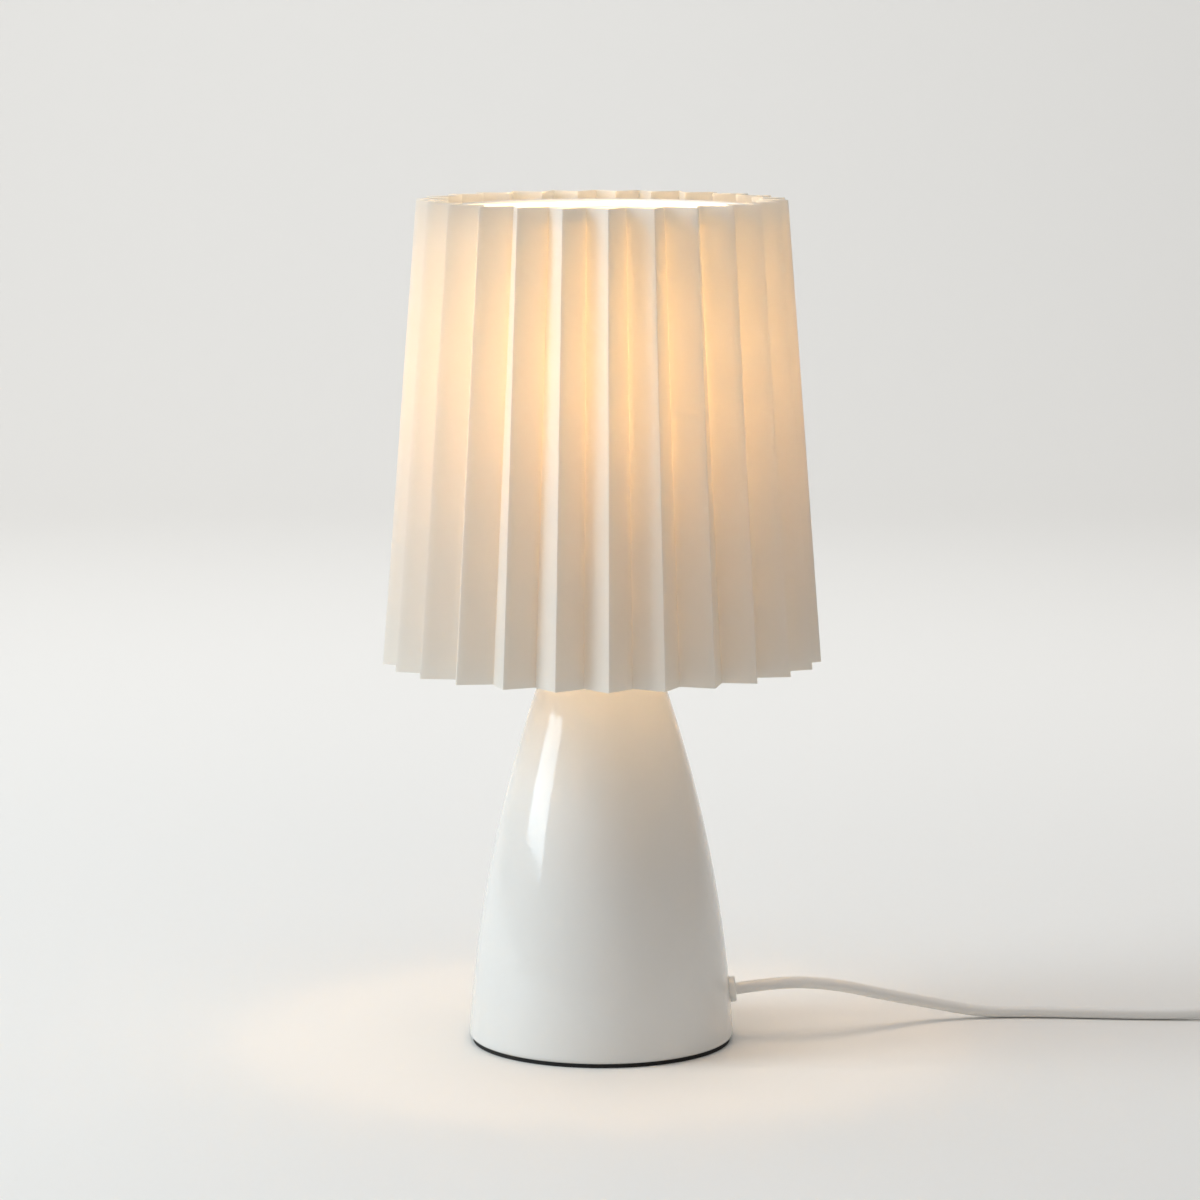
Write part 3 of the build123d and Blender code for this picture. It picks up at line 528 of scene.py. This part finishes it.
def zigzag(share, corners, bow):
    """Points round one row: each panel with its bow, then the rounded fold that ends it."""
    swelling = PANEL_BOW * math.sin(math.pi * (BOW_AT_HEM + (1 - 2 * BOW_AT_HEM) * share))
    points = []
    for index, here in enumerate(corners):
        after, beyond = corners[(index + 1) % FOLDS], corners[(index + 2) % FOLDS]
        along = after - here
        side = Vector((along.y, -along.x, 0)).normalized()
        for step in range(PANEL_STEPS):
            part = FOLD_SHARE + (1 - 2 * FOLD_SHARE) * step / (PANEL_STEPS - 1)
            swell = math.sin(math.pi * part) * bow[index] * swelling
            points.append(here + along * part + side * swell)
        middle = after * 0.5 + (here + beyond) * 0.25
        points.append(after + (middle - after) * FOLD_SHARE * FOLD_PULL)
    return points


def mark_creases(mesh, count):
    """Marks the vertices at and beside the inner folds, where the sheet lets more light through."""
    panel = PANEL_STEPS + 1
    crease = mesh.attributes.new("crease", "FLOAT", "POINT")
    for index in range(len(mesh.vertices)):
        place = index % count
        valley = place // (2 * panel) * 2 * panel + PANEL_STEPS
        crease.data[index].value = max(0.0, 1.0 - abs(place - valley) / CREASE_REACH)


def pleated_cover():
    """The accordion folds, with the sheet's thickness and crisp fold lines."""
    rng = random.Random(FOLD_SEED)
    sway = [rng.uniform(-1, 1) for _ in range(FOLDS)]
    bow = [rng.uniform(-0.2, 1.0) for _ in range(FOLDS)]
    lean = [rng.uniform(-1, 1) for _ in range(FOLDS)]
    build = bmesh.new()
    rings = []
    for row in range(SHADE_ROWS + 1):
        share = row / SHADE_ROWS
        points = zigzag(share, fold_corners(share, sway, lean), bow)
        rings.append([build.verts.new(point) for point in points])
    count = len(rings[0])
    for low, high in zip(rings, rings[1:]):
        for index in range(count):
            after = (index + 1) % count
            build.faces.new([low[index], low[after], high[after], high[index]])
    mesh = finished_mesh("pleats", build)
    made = piece("pleats", mesh, "shade", [PLEAT], ["pleated_cover"])
    mark_creases(mesh, count)
    thick = made.modifiers.new("sheet", "SOLIDIFY")
    thick.thickness = SHEET
    thick.offset = 0.0
    thick.use_even_offset = True
    apply_modifiers(made)
    made.data.set_sharp_from_angle(angle=SHARP_FROM)


def liner_radius(height):
    """Outer radius of the liner at a height, from the frame's boxes at its two ends."""
    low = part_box("shade_liner")[1].x
    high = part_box("top_wire_ring")[1].x + RING_TO_LINER
    share = (height - LINER_BOTTOM) / (LINER_TOP - LINER_BOTTOM)
    return low + (high - low) * share


def liner():
    """The smooth liner inside the pleats."""
    outer, inner = [], []
    for row in range(SHADE_ROWS + 1):
        height = LINER_BOTTOM + (LINER_TOP - LINER_BOTTOM) * row / SHADE_ROWS
        radius = liner_radius(height)
        outer.append((radius, height))
        inner.append((radius - LINER_WALL, height))
    mesh = lathe("liner", outer + list(reversed(inner)))
    piece("liner", mesh, "shade", [LINER], ["shade_liner"])


def frosted_globe():
    """The hollow globe of the bulb, cut off where it meets the housing."""
    outside = arc((0, GLOBE_CENTRE), GLOBE_RADIUS, GLOBE_FROM, GLOBE_TO, 40)
    inside = arc((0, GLOBE_CENTRE), GLOBE_RADIUS - GLOBE_WALL, GLOBE_TO, GLOBE_FROM, 30)
    profile = [(0, GLOBE_TOP)] + outside + inside + [(0, GLOBE_TOP - GLOBE_WALL)]
    mesh = lathe("frosted_globe", profile, 96, False)
    piece("frosted_globe", mesh, "bulb", [GLOBE], ["bulb_globe"])


# Lead from the bush to the switch, in millimetres
TO_SWITCH = [
    (55.53, 0.0, 20.72), (74.0, 0.0, 23.8), (97.0, 6.5, 21.2), (117.5, 19.0, 14.0),
    (138.0, 30.0, 8.0), (160.0, 36.0, 2.52), (185.0, 36.5, 2.52), (212.0, 34.0, 2.52),
    (239.0, 31.8, 2.52), (264.0, 32.2, 4.12), (286.0, 33.0, 8.8), (306.0, 33.0, 8.8),
]

# Lead from the switch to the coil, and from the coil to the plug, in millimetres
TO_COIL = [(408.0, 33.0, 8.8), (426.0, 33.0, 8.8), (446.0, 33.0, 3.35), (464.0, 33.0, 3.35)]
TO_PLUG = [
    (464.0, -48.65, 8.85), (446.0, -48.65, 8.85), (412.0, -67.15, 6.85), (394.0, -67.15, 6.85),
]

# Coil, in millimetres: wound inwards on the floor, then outwards one layer up
COIL_TURNS = 7.5
COIL_REVERSAL_RADIUS = 20.2
COIL_PITCH = 5.5
COIL_X, COIL_Y, COIL_LOW = 469.0, -7.825, 3.35
COIL_CLIMB = 0.5  # turns taken to reach the upper layer
POINTS_A_TURN = 16


def coil_point(turn):
    """Centre of the wound lead after this many turns."""
    radius = COIL_REVERSAL_RADIUS + COIL_PITCH * abs(turn - COIL_TURNS / 2)
    radius /= math.cos(math.pi / POINTS_A_TURN) ** 0.5
    angle = math.radians(90 - 360 * turn)
    climb = min(max((turn - COIL_TURNS / 2 + COIL_CLIMB / 2) / COIL_CLIMB, 0), 1)
    height = COIL_LOW + COIL_PITCH * climb**2 * (3 - 2 * climb)
    return (COIL_X + radius * math.cos(angle), COIL_Y + radius * math.sin(angle), height)


def from_switch():
    """The route from the switch through the coil to the plug."""
    count = int(COIL_TURNS * POINTS_A_TURN)
    return TO_COIL + [coil_point(index / POINTS_A_TURN) for index in range(count + 1)] + TO_PLUG


def lead(name, points, body, replaced):
    """A free lead: one smooth spline with the route's points as its control points."""
    curve = bpy.data.curves.new(name, "CURVE")
    curve.dimensions = "3D"
    curve.bevel_depth = CORD_RADIUS
    curve.bevel_resolution = 6
    curve.use_fill_caps = True
    spline = curve.splines.new("NURBS")
    spline.points.add(len(points) - 1)
    for point, place in zip(spline.points, points):
        point.co = (*(value * MM for value in place), 1.0)
    spline.order_u = 3
    spline.use_endpoint_u = True
    spline.resolution_u = 12
    curve.materials.append(SHEATH)
    made = bpy.data.objects.new(name, curve)
    bpy.context.scene.collection.objects.link(made)
    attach(made, body)
    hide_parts(*replaced)
    return made


def build_lamp():
    """All pieces of the lamp."""
    ceramic_body()
    cord_bush()
    pleated_cover()
    liner()
    frosted_globe()
    first = lead("lead_to_switch", TO_SWITCH, "base", ["cord_to_switch"])
    second = lead("lead_to_plug", from_switch(), "base", ["cord_to_coil", "cord_coil", "cord_to_plug"])


def area_light(name, at, towards, size, power, tint):
    """A soft rectangular lamp that points at a place."""
    data = bpy.data.lights.new(name, "AREA")
    data.shape = "RECTANGLE"
    data.size, data.size_y = size
    data.energy = power
    data.color = tint
    made = bpy.data.objects.new(name, data)
    made.location = at
    made.rotation_euler = (Vector(towards) - Vector(at)).to_track_quat("-Z", "Y").to_euler()
    bpy.context.scene.collection.objects.link(made)


def floor_finish():
    """The matt, pale finish of the floor and backdrop."""
    made, tree, out = material("floor")
    shader = principled(tree, Base_Color=colour(235, 234, 231), Roughness=0.7)
    tree.links.new(shader.outputs[0], out.inputs[0])
    return made


def studio_floor():
    """A pale floor that sweeps up behind the lamp."""
    profile = [(-FLOOR_REACH, 0.0), (FLOOR_BACK - FLOOR_BEND, 0.0)]
    for step in range(1, FLOOR_BEND_STEPS + 1):
        angle = math.pi / 2 * step / FLOOR_BEND_STEPS
        y = FLOOR_BACK - FLOOR_BEND + FLOOR_BEND * math.sin(angle)
        profile.append((y, FLOOR_BEND - FLOOR_BEND * math.cos(angle)))
    profile.append((FLOOR_BACK, FLOOR_TOP))
    build = bmesh.new()
    rows = [[build.verts.new((x, y, z)) for x in (-FLOOR_REACH, FLOOR_REACH)] for y, z in profile]
    for low, high in zip(rows, rows[1:]):
        build.faces.new([low[0], low[1], high[1], high[0]])
    mesh = bpy.data.meshes.new("floor")
    build.to_mesh(mesh)
    build.free()
    for face in mesh.polygons:
        face.use_smooth = True
    mesh.materials.append(floor_finish())
    floor = bpy.data.objects.new("floor", mesh)
    bpy.context.scene.collection.objects.link(floor)


def studio():
    """The floor, the soft lamps, the world and the camera."""
    studio_floor()
    for light in LIGHTS:
        area_light(*light)
    world = bpy.data.worlds.new("studio")
    bpy.context.scene.world = world
    world.use_nodes = True
    background = world.node_tree.nodes["Background"]
    background.inputs["Color"].default_value = WORLD_TINT
    background.inputs["Strength"].default_value = WORLD_STRENGTH
    data = bpy.data.cameras.new("camera")
    data.lens = LENS_MM
    data.sensor_width = SENSOR_MM
    camera = bpy.data.objects.new("camera", data)
    camera.location = CAMERA_AT
    camera.rotation_euler = (math.pi / 2 - CAMERA_DOWN, 0, 0)
    bpy.context.scene.collection.objects.link(camera)
    bpy.context.scene.camera = camera
    bpy.context.scene.view_settings.view_transform = "Standard"


build_lamp()
studio()
